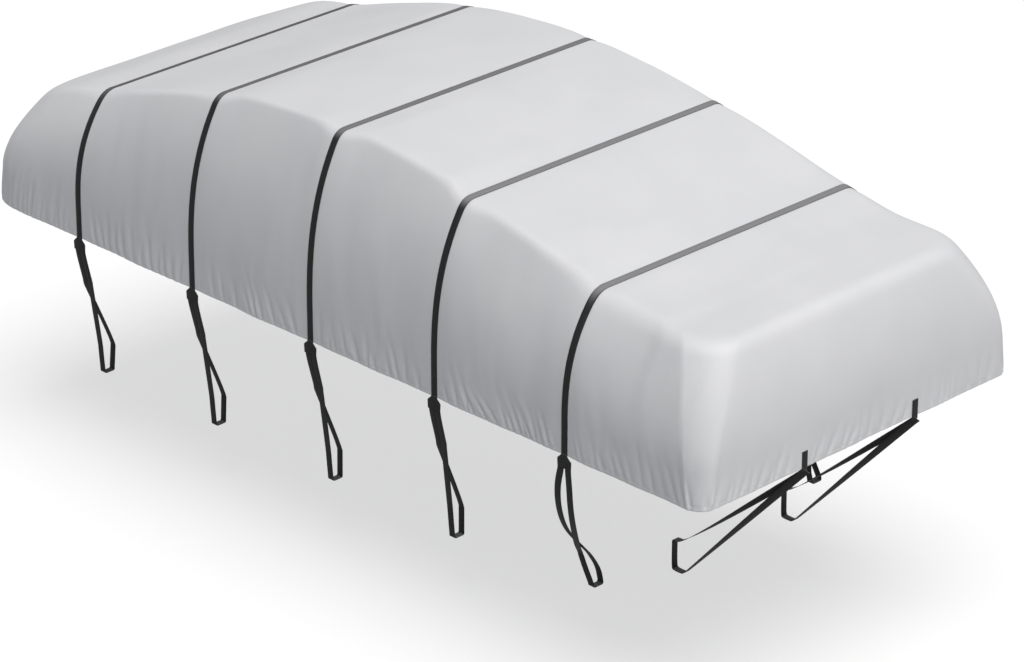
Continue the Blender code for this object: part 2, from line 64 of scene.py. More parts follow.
STRAP_PITCH = 0.991
STRAP_X = tuple(STRAP_PITCH * k for k in (-2, -1, 0, 1, 2))
WEB_WIDTH = 0.045
WEB = 0.002              # thickness of the webbing
GAP = 0.0005             # between the webbing's solid and the cloth
STRAP_END_Z = HEM_Z - 0.025
STRAP_PULL = 0.005       # how far a tight strap draws the sides in
STRAP_PULL_REACH = 0.09
EDGE_PULL = 0.4          # share of it that is left on the rounding of the edge
STRAP_END_Y = HALF_BEAM - STRAP_PULL + GAP + WEB / 2   # middle of the webbing at a strap's end

# The hem's broad waves: radians per metre, size, shift from side to side in radians.
HEM_WAVES = ((7.1, 0.0060, 1.3), (12.7, 0.0042, -0.9), (19.0, 0.0030, 2.1))
HEM_WAVE_REACH = 0.30    # height over which they fade
HEM_WAVE_FADE = 1.5      # power of that fading
HEM_QUIET_REACH = 0.12   # distance from a strap within which they fade
END_WAVE = 0.8           # share of them on the two ends
END_WAVE_SHIFT = 3.0

# The round of the float and the trailer's rail that the loops go over; both are left out.
FLOAT_Y = 0.900
FLOAT_Z = HEM_Z - 0.225
FLOAT_RADIUS = 0.285
RAIL_TOP = HEM_Z - 0.760
RAIL_BOTTOM = HEM_Z - 0.941
RAIL_WIDTH = 0.068
CLEAR = 0.0015           # from the webbing's middle to the float and the rail

# strap, rail's outer face, fore branch at the rail, foot, aft branch at the rail, its sideways bow
LOOPS = (
    (1, 1.050, -0.066, -0.051, -0.034, 0.016),
    (2, 1.050, -0.065, -0.050, -0.040, 0.008),
    (3, 1.050, -0.064, -0.048, -0.045, 0.003),
    (4, 1.050, -0.067, -0.051, -0.050, 0.008),
    (5, 0.916, -0.185, -0.098, -0.141, 0.000),
)
FORK_DROP = 0.062        # from the strap's end to where the branches part
BRANCH_OFFSET = 0.0265   # from the strap's centre line to each branch's, on the slack loop
BRANCH_STEP = 0.005      # how far the fore branch lies outside the aft one
SLACK_STRAP = 5          # its loops hang slack, clear of the float
# share of the drop, fore branch's distance from the centre line and its x, aft branch's likewise
SLACK_LINES = (
    (0.15, 1.222, 0.030, 1.215, -0.062),
    (0.30, 1.207, 0.022, 1.190, -0.089),
    (0.45, 1.176, 0.004, 1.153, -0.113),
    (0.60, 1.127, -0.028, 1.103, -0.136),
    (0.75, 1.058, -0.080, 1.038, -0.151),
    (0.88, 0.988, -0.137, 0.972, -0.124),
    (1.00, 0.918, -0.185, 0.895, -0.141),
)
TABS = (("s", -0.440), ("p", 0.442))   # side and y of the bow tabs
TAB_TOP = 0.098          # above the hem
TAB_GAP = 0.0008         # between a tab and the bow face
BOW_RAIL_X = 2.137       # front of the rail where the bow loops go round it
BOW_RAIL_DEPTH = 0.085
BOW_BEND = 0.010         # size of the webbing's turns round that rail

# -------------------------------- where the drawn cloth differs
# Its sides stand fuller than the solid's and its edge is tighter.
# x, share of the square law in the lean of the sides between two straps
SIDE_CURVES = ((-2.0, 0.60), (-0.5, 0.80), (0.5, 0.95), (1.5, 1.10), (2.3, 1.30))
STRAP_CURVE = 0.4        # and under a strap, as in the solid
STRAP_CURVE_REACH = 0.25
# x, size of the rounding between the walls and the top; the solid has 0.080 all round
EDGE_LEGS = ((-2.6, 0.034), (-1.5, 0.028), (-0.5, 0.030), (0.5, 0.034), (1.5, 0.045), (2.2, 0.075),
             (2.7, 0.070))
STRAP_LEG = 0.060        # its least size under a strap
STRAP_LEG_REACH = 0.13
# Between two straps the starboard edge runs higher and further in: from, to, lift, inset.
EDGE_SPANS = (
    (-0.991, 0.000, 0.016, 0.030),
    (0.000, 0.991, 0.025, 0.046),
    (0.991, 1.982, 0.014, 0.028),
    (1.982, 2.500, 0.013, 0.026),
)
SPAN_EASE = 0.20         # share of a span in which its edge rises or falls
# end: hem, lean, corner radius at the hem and at the top; the solid's bow has 0.120 and 0.315
END_FORMS = {1: (BOW_X, 0.150, 0.095, 0.220), -1: (STERN_X, 0.105, 0.288, 0.439)}
CORNER_CUT = 0.5         # how flat the starboard bow corner lies between its creases
HEM_WAVE_SHARE = 0.4     # share of the solid's broad waves that it keeps

# -------------------------------- detail of the cloth's mesh
BAND_TOP = 0.325         # height of the finely divided band above the hem
FINE = 3                 # its columns to each column of the walls above it
EDGE_STEPS = 10          # rows of the rounding, from the top down
WALL_STEPS = 26          # rows from there to the band's top
BAND_STEPS = 9           # rows from the band's top to the upright stretch
STITCH_HEIGHT = 0.0235   # the line of stitches above the hem
STITCH_HALF = 0.0025     # half width of the dent that they draw
STITCH_DEPTH = 0.0009
# heights of the rows of the upright stretch, closest at the stitches
HEM_HEIGHTS = (0.190, 0.170, 0.151, 0.133, 0.116, 0.100, 0.085, 0.071, 0.058, 0.046, 0.035,
               0.027, STITCH_HEIGHT, 0.020, 0.012, 0.005, 0.0)
# The turned hem: how far inside the hem's edge and how far above it.
HEM_TURN = ((0.0030, -0.0022), (0.0062, 0.0016), (0.0064, 0.020))
STERN_FIXED = -2.20      # between these two, a column of a side has the same x on every row
BOW_FIXED = 2.38
# Columns of each section round the walls.
SIDE_STEPS = 173
STERN_LEAD_STEPS = 12
BOW_LEAD_STEPS = 14
STERN_CORNER_STEPS = 20
BOW_CORNER_STEPS = 16
STERN_FLAT_STEPS = 72
BOW_FLAT_STEPS = STERN_FLAT_STEPS + STERN_CORNER_STEPS - BOW_CORNER_STEPS
STERN_HALF = STERN_CORNER_STEPS // 2
SIDE_FIRST = STERN_HALF + STERN_LEAD_STEPS
ALONG = SIDE_FIRST + SIDE_STEPS + BOW_LEAD_STEPS + BOW_CORNER_STEPS // 2   # corner to corner
TOP_UV_SHIFT = 5.0       # sets the top's flat coordinates apart from the walls'
TURN_UV_DROP = 0.01      # and the turned hem's

# -------------------------------- form of the cloth
RIDGE_X, RIDGE_H = (np.array(column) for column in zip(*RIDGE))


def ridge_slopes():
    """Slope of the top at each place of RIDGE, from its neighbours."""
    last = len(RIDGE) - 1
    low = np.maximum(np.arange(last + 1) - 1, 0)
    high = np.minimum(np.arange(last + 1) + 1, last)
    return (RIDGE_H[high] - RIDGE_H[low]) / (RIDGE_X[high] - RIDGE_X[low])


RIDGE_SLOPE = ridge_slopes()


def ridge(x):
    """Height of the cloth's top above the hem."""
    x = np.asarray(x, float)
    i = np.clip(np.searchsorted(RIDGE_X, x) - 1, 0, len(RIDGE_X) - 2)
    step = RIDGE_X[i + 1] - RIDGE_X[i]
    t = np.clip((x - RIDGE_X[i]) / step, -RIDGE_RUN_ON, 1 + RIDGE_RUN_ON)
    rise0 = RIDGE_SLOPE[i] * step
    rise1 = RIDGE_SLOPE[i + 1] * step
    c = np.clip(t, 0, 1)
    inside = ((2 * c**3 - 3 * c**2 + 1) * RIDGE_H[i] + (c**3 - 2 * c**2 + c) * rise0
              + (3 * c**2 - 2 * c**3) * RIDGE_H[i + 1] + (c**3 - c**2) * rise1)
    return inside + rise0 * np.minimum(t, 0) + rise1 * np.maximum(t - 1, 0)


def mix(a, b, t):
    return a * (1 - t) + b * t


def unit(v):
    return v / np.maximum(np.linalg.norm(v, axis=-1, keepdims=True), TINY)


def smooth(t):
    """Smooth step from 0 to 1."""
    t = np.clip(t, 0, 1)
    return t * t * (3 - 2 * t)


def lean(share, curve):
    """Share of a wall's inset at a share of its height."""
    return curve * share**2 + (1 - curve) * share**3


def near_strap(x):
    """Distance along the boat to the nearest strap."""
    return np.min([np.abs(x - s) for s in STRAP_X], axis=0)


def under_strap(x, reach):
    """1 at a strap, 0 far from it."""
    return np.exp(-((near_strap(x) / reach) ** 2))


def side_curve(x):
    """Share of the square law in the side's lean at x."""
    return mix(np.interp(x, *zip(*SIDE_CURVES)), STRAP_CURVE, under_strap(x, STRAP_CURVE_REACH))


def edge_span(x, side):
    """Lift and inset of a side's edge between the straps."""
    lift, inset = 0 * x, 0 * x
    for first, last, up, back in EDGE_SPANS:
        share = (x - first) / (last - first)
        bump = smooth(share / SPAN_EASE) * smooth((1 - share) / SPAN_EASE) * (side < 0)
        lift += up * bump
        inset += back * bump
    return lift, inset


def edge_leg(x):
    """Size of the rounding at x, which is wider under a strap."""
    between = np.interp(x, *zip(*EDGE_LEGS))
    return mix(between, np.maximum(STRAP_LEG, between), under_strap(x, STRAP_LEG_REACH))


def wall_share(row, height, leg):
    """Share of the side's height that a row lies at."""
    kind, value = row
    rise = height - SIDE_UPRIGHT
    start = 1 - leg / rise
    low = (BAND_TOP - SIDE_UPRIGHT) / rise
    if kind == "band":
        return low * value
    return mix(low, start, value if kind == "wall" else 1.0)


def wall_row(row, height, inset, curve, leg):
    """How far in a row of a wall lies, and how high above the hem."""
    kind, value = row
    if kind == "upright":
        return 0 * height, SIDE_UPRIGHT * value + 0 * height
    rise = height - SIDE_UPRIGHT
    share = wall_share(row, height, leg)
    low = (inset * lean(share, curve), SIDE_UPRIGHT + rise * share)
    if kind != "edge":
        return low
    high = (inset + leg, height)
    weights = ((1 - value) ** 2, 2 * value * (1 - value), value**2)
    return tuple(sum(w * p[k] for w, p in zip(weights, (low, (inset, height), high))) for k in (0, 1))


def row_share(row, height, leg):
    """Share of a corner's change of radius that is reached on a row."""
    kind, value = row
    if kind == "upright":
        return UPRIGHT_SHARE * value + 0 * height
    if kind == "edge":
        return mix(EDGE_SHARE, 1.0, value) + 0 * height
    start = 1 - leg / (height - SIDE_UPRIGHT)
    return mix(UPRIGHT_SHARE, EDGE_SHARE, wall_share(row, height, leg) / start)


def strap_pull(x, row):
    """How far the straps draw a side in."""
    kind, value = row
    depth = STRAP_PULL * under_strap(x, STRAP_PULL_REACH)
    return depth * (mix(1.0, EDGE_PULL, min(1.0, 2 * value)) if kind == "edge" else 1.0)


def hem_wave(x, side, height):
    """Rise of the hem's broad waves, which fade upward and beside a strap."""
    fade = np.maximum(0.0, 1 - height / HEM_WAVE_REACH) ** HEM_WAVE_FADE
    wave = sum(size * np.sin(rate * x + shift * side) for rate, size, shift in HEM_WAVES)
    return HEM_WAVE_SHARE * wave * fade * (1 - under_strap(x, HEM_QUIET_REACH))


def side_line(x, side, row):
    """Points of a side wall on one row; x may be an array."""
    x = np.asarray(x, float)
    lift, back = edge_span(x, side)
    inset, up = wall_row(row, ridge(x) + lift, SIDE_INSET + back, side_curve(x), edge_leg(x))
    y = HALF_BEAM - inset - strap_pull(x, row) + hem_wave(x, side, up)
    return np.stack([x, side * y, HEM_Z + up], axis=-1)


def end_size(end, row):
    """An end wall's x and its corners' radius on a row."""
    hem_x, inset, low_radius, high_radius = END_FORMS[end]
    height = ridge(hem_x - end * inset)
    leg = edge_leg(hem_x)
    back, _ = wall_row(row, height, inset, END_CURVE, leg)
    return hem_x - end * back, mix(low_radius, high_radius, row_share(row, height, leg))


def end_line(end, side, share, angle, row):
    """Points of an end wall: share runs along its flat, angle round its corner from the flat on."""
    x_end, radius = end_size(end, row)
    x = x_end - end * radius * (1 - np.cos(angle))
    inset, up = wall_row(row, ridge(x), SIDE_INSET, side_curve(x), edge_leg(x))
    half = HALF_BEAM - inset
    y = side * ((half - radius) * share + radius * np.sin(angle))
    if end > 0 and np.all(side < 0) and np.any(angle > 0):   # the starboard bow corner
        part = angle / (math.pi / 2)
        x = mix(x, x_end - end * radius * part, CORNER_CUT * part)
        y = mix(y, side * (half - radius + radius * part), CORNER_CUT * part)
    cross = hem_wave(y + END_WAVE_SHIFT * end, np.where(y < 0, -1, 1), up) * END_WAVE
    along = hem_wave(x, side, up)
    turn = smooth(angle / (math.pi / 2))
    x = x + end * cross * (1 - turn)
    y = y + side * along * turn
    return np.stack([x, y, HEM_Z + up], axis=-1)


# -------------------------------- columns round the cloth
# kind, end, side, first and last value, steps
SECTIONS = (
    ("arc", -1, -1, 0.5, 1.0, STERN_HALF),
    ("lead", -1, -1, 1.0, 0.0, STERN_LEAD_STEPS),
    ("side", 0, -1, STERN_FIXED, BOW_FIXED, SIDE_STEPS),
    ("lead", 1, -1, 0.0, 1.0, BOW_LEAD_STEPS),
    ("arc", 1, -1, 1.0, 0.0, BOW_CORNER_STEPS),
    ("flat", 1, 0, -1.0, 1.0, BOW_FLAT_STEPS),
    ("arc", 1, 1, 0.0, 1.0, BOW_CORNER_STEPS),
    ("lead", 1, 1, 1.0, 0.0, BOW_LEAD_STEPS),
    ("side", 0, 1, BOW_FIXED, STERN_FIXED, SIDE_STEPS),
    ("lead", -1, 1, 0.0, 1.0, STERN_LEAD_STEPS),
    ("arc", -1, 1, 1.0, 0.0, STERN_CORNER_STEPS),
    ("flat", -1, 0, 1.0, -1.0, STERN_FLAT_STEPS),
    ("arc", -1, -1, 0.0, 0.5, STERN_HALF),
)


def wall_line(row, fine):
    """All points of one row, counter-clockwise from the starboard stern corner's middle."""
    parts = []
    for kind, end, side, first, last, steps in SECTIONS:
        steps *= fine
        value = first + (last - first) * np.arange(steps) / steps
        if kind == "side":
            parts.append(side_line(value, side, row))
        elif kind == "lead":
            x_end, radius = end_size(end, row)
            fixed = BOW_FIXED if end > 0 else STERN_FIXED
            parts.append(side_line(mix(fixed, x_end - end * radius, value), side, row))
        elif kind == "arc":
            parts.append(end_line(end, side, 1.0, value * math.pi / 2, row))
        else:
            sides = np.where(value < 0, -1, 1)
            parts.append(end_line(end, sides, np.abs(value), np.zeros(steps), row))
    return np.concatenate(parts)


def grid_normals(grid):
    """Outward normals of rows of points round the cloth, rows from the top down."""
    along = np.roll(grid, -1, axis=1) - np.roll(grid, 1, axis=1)
    down = np.gradient(grid, axis=0)
    return unit(np.cross(down, along))


# -------------------------------- folds of the cloth
# Gathers of the hem in runs round it: first and last place along the hem, which is x on the
# starboard side, spacing, least and most height, lean at both ends, least and most depth in mm.
GATHER_RUNS = (
    (-3.05, -2.42, 0.046, 0.16, 0.30, 0.015, 0.005, 5, 9),
    (-2.42, -2.08, 0.058, 0.12, 0.20, 0.005, 0.015, 4, 8),
    (-1.84, -1.08, 0.062, 0.10, 0.24, -0.015, 0.015, 6, 10),
    (-0.92, -0.07, 0.085, 0.10, 0.18, -0.010, -0.060, 4, 8),
    (0.08, 0.93, 0.080, 0.09, 0.22, -0.015, -0.030, 4, 9),
    (1.10, 1.52, 0.070, 0.08, 0.18, -0.040, -0.100, 5, 10),
    (1.55, 1.88, 0.052, 0.12, 0.18, -0.060, -0.040, 5, 9),
    (1.93, 2.52, 0.068, 0.08, 0.16, -0.050, -0.040, 3, 5),
    (2.56, 2.93, 0.060, 0.16, 0.30, -0.050, -0.020, 3, 6),
    (2.98, 3.66, 0.066, 0.08, 0.14, 0.022, 0.016, 5, 8),
    (3.76, 4.55, 0.080, 0.08, 0.14, 0.042, 0.015, 4, 8),
    (4.65, 5.25, 0.075, 0.10, 0.16, 0.005, 0.008, 5, 8),
    (5.35, 13.20, 0.072, 0.08, 0.23, -0.015, -0.015, 4, 8),
)
GATHER_SEED = 7
GATHER_JITTER = (0.55, 1.45)    # share of the spacing from one gather to the next
LEAN_JITTER = 0.018
LEAN_POWER = 1.25        # of a gather's lean over its height
GATHER_DEPTH = 2.25      # the drawn depth to the depth in GATHER_RUNS
WIDTH_SEED = 11
GATHER_WIDTHS = (0.0095, 0.0130)    # least and most half width of a trough at the hem
DEEP_GATHER = 0.006      # a deeper trough is wider
DEEP_WIDTH = 1.12
GATHER_SPREAD = 0.9      # growth of a trough's width up to its full height
GATHER_SPREAD_END = 1.3  # share of its height at which it stops growing
GATHER_FADE = (0.90, 2.2)       # share of its height that a gather fades over, and the power
TROUGH_POWER = 1.7
SHOULDER = (0.42, 2.3)   # height and width of a trough's shoulders, to the trough's
HEM_STIFF = 0.30         # share of the gathers left at the hem's edge
HEM_STIFF_REACH = 0.042


def hem_coordinate(points):
    """Distance round the hem, equal to x along the starboard side, and the whole way round."""
    place = run_length(np.concatenate([points, points[:1]]))
    return place[:-1] + (STERN_FIXED - place[SIDE_FIRST * FINE]), place[-1]


def build_gathers():
    """Every gather as place, height, lean and depth."""
    random = np.random.default_rng(GATHER_SEED)
    gathers = []
    for first, last, spacing, low, high, lean_first, lean_last, least, most in GATHER_RUNS:
        at = first
        while at < last:
            tilt = mix(lean_first, lean_last, (at - first) / (last - first))
            tilt += random.uniform(-LEAN_JITTER, LEAN_JITTER)
            gathers.append((at, random.uniform(low, high), tilt, random.uniform(least, most) / MM))
            at += spacing * random.uniform(*GATHER_JITTER)
    return gathers


def gather_field(place, total, heights, gathers):
    """Rise of the gathers over the band's rows and columns; troughs are negative."""
    field = np.zeros((len(heights), len(place)))
    random = np.random.default_rng(WIDTH_SEED)
    fade_reach, fade_power = GATHER_FADE
    shoulder_height, shoulder_width = SHOULDER
    for at, height, lean_by, depth in gathers:
        narrow = random.uniform(*GATHER_WIDTHS) * (DEEP_WIDTH if depth > DEEP_GATHER else 1.0)
        share = np.clip(heights / height, 0, None)[:, None]
        centre = at + lean_by * share**LEAN_POWER
        away = (place[None, :] - centre + total / 2) % total - total / 2
        width = narrow * (1 + GATHER_SPREAD * np.minimum(share, GATHER_SPREAD_END))
        fade = np.exp(-((share / fade_reach) ** fade_power))
        u = away / width
        trough = np.exp(-np.abs(u) ** TROUGH_POWER)
        shoulder = shoulder_height * np.exp(-((u / shoulder_width) ** 2))
        field += GATHER_DEPTH * depth * fade * (shoulder - trough)
    return field


# Long soft folds of the starboard side: x and height of both ends, half width, rise in mm, which
# is the other way on the port side.
SIDE_FOLDS = (
    (-1.62, 0.20, -1.50, 0.75, 0.060, -3.0),
    (-1.30, 0.25, -1.20, 0.85, 0.050, 3.0),
    (-0.70, 0.15, -0.55, 0.80, 0.070, -3.5),
    (-0.40, 0.20, -0.30, 0.75, 0.050, 3.0),
    (-0.20, 0.25, -0.12, 0.95, 0.045, -2.5),
    (0.30, 0.20, 0.18, 0.90, 0.060, -3.0),
    (0.62, 0.15, 0.45, 0.80, 0.065, 3.0),
    (1.30, 0.18, 1.15, 0.75, 0.060, -3.0),
    (1.62, 0.15, 1.45, 0.70, 0.070, 3.0),
    (2.30, 0.15, 2.15, 0.60, 0.055, -3.0),
    (2.60, 0.15, 2.48, 0.60, 0.055, 3.0),
)
FOLD_START = (0.15, 0.35)       # shares of its length: how early a fold starts, and its rise
FOLD_END = (1.15, 0.40)         # where it ends, and its fall
# Slow waves all over: direction and rate, size in mm, shift.
DRAPE_WAVES = (
    ((5.1, 1.3, 2.2), 1.3, 0.3),
    ((2.7, -4.4, 3.1), 1.2, 1.9),
    ((-8.3, 2.9, 1.2), 0.9, 4.0),
    ((11.7, 5.2, -3.4), 0.6, 2.2),
    ((3.3, 9.6, 4.1), 0.7, 5.1),
    ((16.9, -7.3, 5.5), 0.35, 0.8),
)
# Faint upright streaks of the sides: radians a metre, size in mm, slant, shift.
STREAKS = ((31.0, 0.9, 4.0, 0.4), (47.0, 0.7, -5.0, 2.0), (66.0, 0.5, 7.0, 1.1),
           (88.0, 0.35, -6.0, 3.3))
SWELL = (0.13, 2.1, 2.3)        # their slow rise and fall: share of the rate, slant, share of the shift
STREAK_LOW = 0.10               # height in which they start above the hem
STREAK_TOP = (1.05, 0.25)       # shares of the cloth's height: where they end, and their fall
LEAST_HEIGHT = 0.1
SIDE_START = (0.93, 0.12)       # distance from the centre line where a side begins, and its ease
SIDE_LEAST = 1.0                # the band lies on a side further out than this
QUIET_HALF = 0.026              # distance from a strap's or a tab's middle that stays smooth
STRAP_QUIET_EASE = 0.09
TAB_QUIET_EASE = 0.05
TAB_ZONE = 0.2                  # a tab smooths the cloth up to here behind the bow's hem


def strap_quiet(x):
    """0 under a strap, 1 away from it."""
    return smooth((near_strap(x) - QUIET_HALF) / STRAP_QUIET_EASE)


def tab_quiet(points):
    """0 under a bow tab, 1 away from it."""
    x, y = points[..., 0], points[..., 1]
    near = np.min([np.abs(y - at) for _, at in TABS], axis=0)
    away = smooth((near - QUIET_HALF) / TAB_QUIET_EASE)
    return np.where(x > BOW_X - TAB_ZONE, away, 1.0)


def side_fold(x, height, fold):
    """Rise of one long fold, in metres."""
    x0, h0, x1, h1, half, size = fold
    run = np.array([x1 - x0, h1 - h0])
    long = np.hypot(*run)
    run /= long
    along = ((x - x0) * run[0] + (height - h0) * run[1]) / long
    off = (x - x0) * run[1] - (height - h0) * run[0]
    start = smooth((along + FOLD_START[0]) / FOLD_START[1])
    end = smooth((FOLD_END[0] - along) / FOLD_END[1])
    return size / MM * np.exp(-((off / half) ** 2)) * start * end


def drape(points):
    """Soft folds and slow waves, as a rise of the cloth."""
    x, y, z = points[..., 0], points[..., 1], points[..., 2]
    height = z - HEM_Z
    rise = np.zeros(x.shape)
    for rates, size, shift in DRAPE_WAVES:
        rise += size / MM * np.sin(x * rates[0] + y * rates[1] + z * rates[2] + shift)
    on_side = smooth((np.abs(y) - SIDE_START[0]) / SIDE_START[1])
    top, ease = STREAK_TOP
    fade = smooth((top - height / np.maximum(ridge(x), LEAST_HEIGHT)) / ease)
    fade *= smooth(height / STREAK_LOW)
    slow, slant, late = SWELL
    for side in (-1, 1):
        here = on_side * (np.sign(y) == side)
        for fold in SIDE_FOLDS:
            rise -= here * side * side_fold(x, height, fold)
        for rate, size, tilt, shift in STREAKS:
            swell = 0.5 + 0.5 * np.sin(x * rate * slow + height * slant + shift * late + side)
            streak = size / MM * np.sin(x * rate + height * tilt + shift + side)
            rise += here * fade * swell * streak
    return rise * strap_quiet(x)


# -------------------------------- the cloth's mesh
def wall_rows():
    """Rows of the walls: those above the fine band, and those in it."""
    upper = [("edge", 1 - k / EDGE_STEPS) for k in range(EDGE_STEPS + 1)]
    upper += [("wall", 1 - k / WALL_STEPS) for k in range(1, WALL_STEPS + 1)]
    band = [("band", 1 - k / BAND_STEPS) for k in range(BAND_STEPS + 1)]
    band += [("upright", height / SIDE_UPRIGHT) for height in HEM_HEIGHTS]
    return upper, band


def move_band(band, heights, place, total):
    """The band with its gathers, folds and stitch line, and the rows of the turned hem."""
    stiff = mix(HEM_STIFF, 1.0, smooth(heights / HEM_STIFF_REACH))[:, None]
    field = gather_field(place, total, heights, build_gathers()) * stiff
    beside_strap = np.where(np.abs(band[..., 1]) > SIDE_LEAST, strap_quiet(band[..., 0]), 1.0)
    normals = grid_normals(band)
    moved = band + normals * (field * beside_strap * tab_quiet(band) + drape(band))[..., None]
    stitch = np.exp(-(((heights - STITCH_HEIGHT) / STITCH_HALF) ** 2))[:, None] * STITCH_DEPTH
    moved -= normals * stitch[..., None]
    inward = unit(-normals[-1] * np.array([1, 1, 0]))
    turned = [moved[-1] + inward * i + np.array([0, 0, up]) for i, up in HEM_TURN]
    return moved, turned


def top_grid(rim, across):
    """Points of the top, rows from stern to bow and columns from starboard to port."""
    low = rim[:ALONG + 1]
    bow = rim[ALONG:ALONG + across + 1]
    high = rim[ALONG + across:2 * ALONG + across + 1][::-1]
    stern = rim[-np.arange(across + 1) % len(rim)]
    first, last = SIDE_FIRST, SIDE_FIRST + SIDE_STEPS
    i = np.arange(ALONG + 1)[:, None]
    j = np.arange(across + 1)[None, :]
    low_x, low_y, high_y = low[:, 0], low[:, 1], high[:, 1]
    to_stern = (low_x - low_x[0]) / (low_x[first] - low_x[0])
    to_bow = (low_x - low_x[last]) / (low_x[-1] - low_x[last])
    x = np.where(
        i < first, mix(stern[None, :, 0], low_x[first], to_stern[:, None]),
        np.where(i > last, mix(low_x[last], bow[None, :, 0], to_bow[:, None]), low_x[:, None]))
    shares = [(e[:, 1] - e[0, 1]) / (e[-1, 1] - e[0, 1]) for e in (stern, bow)]
    y = mix(low_y[:, None], high_y[:, None],
            mix(shares[0][None, :], shares[1][None, :], i / ALONG))
    lift, _ = edge_span(low_x, -1)
    top = np.stack([x, y, HEM_Z + ridge(x) + lift[:, None] * (1 - j / across)], axis=-1)
    slope = np.gradient(top[..., 2], axis=0) / np.gradient(x, axis=0)
    up = unit(np.stack([-slope, np.zeros_like(slope), np.ones_like(slope)], axis=-1))
    return top + up * drape(top)[..., None]


def ring_quads(first_row, rows, size):
    """Quads between rows of points that close round the cloth."""
    here = np.arange(size)
    after = (here + 1) % size
    starts = [first_row + r * size for r in range(rows)]
    return [np.stack([a + here, a + size + here, a + size + after, a + after], axis=1) for a in starts]


def top_quads(top_start, across, count):
    """Quads of the top, whose outer points are the walls' first row."""
    index = np.empty((ALONG + 1, across + 1), int)
    inner = index[1:-1, 1:-1]
    inner[:] = top_start + np.arange(inner.size).reshape(inner.shape)
    index[:, 0] = np.arange(ALONG + 1)
    index[-1, :] = ALONG + np.arange(across + 1)
    index[:, -1] = 2 * ALONG + across - np.arange(ALONG + 1)
    index[0, :] = -np.arange(across + 1) % count
    corners = [index[:-1, :-1], index[1:, :-1], index[1:, 1:], index[:-1, 1:]]
    return np.stack(corners, axis=-1).reshape(-1, 4)


def make_cover():
    """The cloth: walls, a finer band above the hem, the turned hem and the top, as one mesh."""
    upper_rows, band_rows = wall_rows()
    upper = np.stack([wall_line(row, 1) for row in upper_rows])
    band = np.stack([wall_line(row, FINE) for row in band_rows])
    count = upper.shape[1]
    wide = count * FINE
    across = count // 2 - ALONG
    place, total = hem_coordinate(band[-1])
    heights = band[:, :, 2].mean(axis=1) - HEM_Z
    band_moved, turned = move_band(band, heights, place, total)
    upper_moved = upper + grid_normals(upper) * drape(upper)[..., None]
    upper_moved[-1] = band_moved[0, ::FINE]
    inner = top_grid(upper_moved[0], across)[1:-1, 1:-1]
    verts = np.concatenate([upper_moved.reshape(-1, 3), band_moved.reshape(-1, 3), *turned,
                            inner.reshape(-1, 3)])

    # the last row of the upper walls joins the band's first row, which has more points
    last_row = len(upper_rows) - 2
    above, below = last_row * count, len(upper_rows) * count
    fine_rows = len(band_rows) + len(turned)
    k = np.arange(count)[:, None]
    joins = np.concatenate([above + k, below + (k * FINE + np.arange(FINE + 1)) % wide,
                            above + (k + 1) % count], axis=1)
    quads = np.concatenate(ring_quads(0, last_row, count) + ring_quads(below, fine_rows - 1, wide)
                           + [top_quads(below + fine_rows * wide, across, count)])

    # leave out the points of the upper walls' last row, which the band's first row stands for
    used = np.zeros(len(verts), bool)
    used[quads.ravel()] = True
    used[joins.ravel()] = True
    renumber = np.cumsum(used) - 1
    faces = renumber[quads].tolist() + renumber[joins].tolist()

    # flat coordinates in metres for the weave
    turn_up = np.array([[-up - TURN_UV_DROP] for _, up in HEM_TURN])
    walls = ((place[::FINE], upper[..., 2] - HEM_Z), (place, heights[:, None]), (place, turn_up))
    uv = [np.stack(np.broadcast_arrays(*pair), axis=-1).reshape(-1, 2) for pair in walls]
    uv.append(inner[..., :2].reshape(-1, 2) + np.array([0.0, TOP_UV_SHIFT]))
    return new_mesh("cover_cloth", verts[used], faces, np.concatenate(uv)[used])


UV_NAME = "UVMap"


def new_mesh(name, verts, faces, uv, sharp=None):
    """An object of points, faces and flat coordinates; sharp is the least angle of a sharp edge."""
    mesh = bpy.data.meshes.new(name)
    mesh.from_pydata([tuple(v) for v in verts], [], faces)
    layer = mesh.uv_layers.new(name=UV_NAME)
    loops = np.zeros(len(mesh.loops), np.int32)
    mesh.loops.foreach_get("vertex_index", loops)
    layer.data.foreach_set("uv", np.asarray(uv, np.float32)[loops].ravel())
    mesh.shade_smooth()
    if sharp is not None:
        mesh.set_sharp_from_angle(angle=math.radians(sharp))
    mesh.validate()
    obj = bpy.data.objects.new(name, mesh)
    bpy.context.scene.collection.objects.link(obj)
    return obj


# -------------------------------- webbing
STRAP_LIFT = 0.0007      # from the cloth to the webbing
SECTION_CUT = 0.0005     # bevel of the webbing's edges
# Corners of its section: side, face, and how much of the bevel is taken off the side and the face.
SECTION = ((-1, -1, 0, 1), (-1, 1, 0, 1), (-1, 1, 1, 0), (1, 1, 1, 0), (1, 1, 0, 1), (1, -1, 0, 1),
           (1, -1, 1, 0), (-1, -1, 1, 0))
SHARP_ANGLE = 50         # degrees, between faces that don't shade into each other
ALONG_BOAT, ACROSS_BOAT = (1.0, 0.0, 0.0), (0.0, 1.0, 0.0)
STRAP_ROWS = (("upright", 10), ("band", 5), ("wall", 30), ("edge", 14))   # steps up each side
STRAP_TOP_STEPS = 60     # and over the top
INSIDE_Z = -0.6          # level of a line inside the cover, from which outward is told
TAIL_POINTS = 4          # of a strap's end below the hem
TAIL_TOP = HEM_Z - 0.003
WEB_STEP = 0.007         # from point to point of a loop


def run_length(points):
    """Distance along a line at each of its points."""
    return np.concatenate([[0], np.cumsum(np.linalg.norm(np.diff(points, axis=0), axis=1))])


